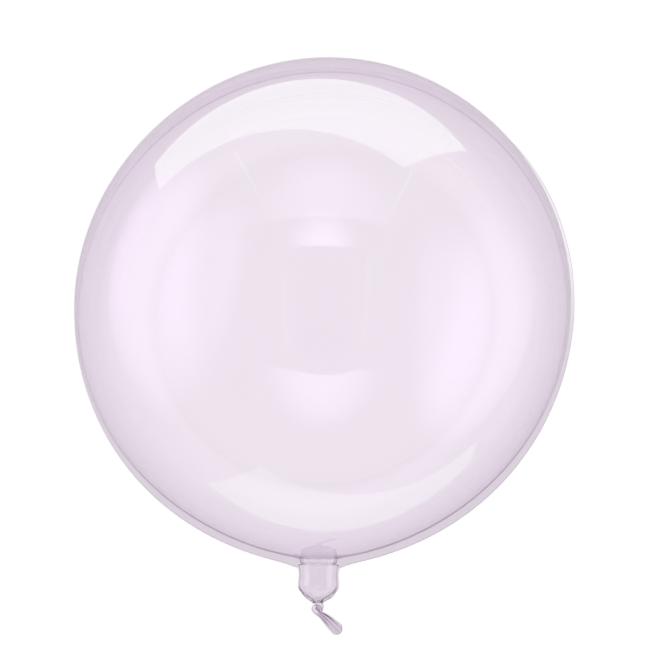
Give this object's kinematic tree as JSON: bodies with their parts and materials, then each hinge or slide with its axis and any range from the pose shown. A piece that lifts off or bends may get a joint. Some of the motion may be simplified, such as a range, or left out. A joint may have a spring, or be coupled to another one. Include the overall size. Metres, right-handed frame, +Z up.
{
  "type": "orb balloon",
  "caption": "Clear lilac round film balloon with a flat welded rim, an inflated filling neck, a knot and a short pleated tail.",
  "frame": {"origin": "middle of the underside of the bounding box, level with the small flat spot that the ball lies on", "axes": "+Z up, square to the level welded rim; the neck points along -Y; +X to the right"},
  "size_m": [0.4112, 0.4682, 0.3983],
  "materials": {
    "film": "clear glossy lilac stretch film, see-through"
  },
  "bodies": {
    "root": {"balloon": "film"}
  },
  "joints": []
}
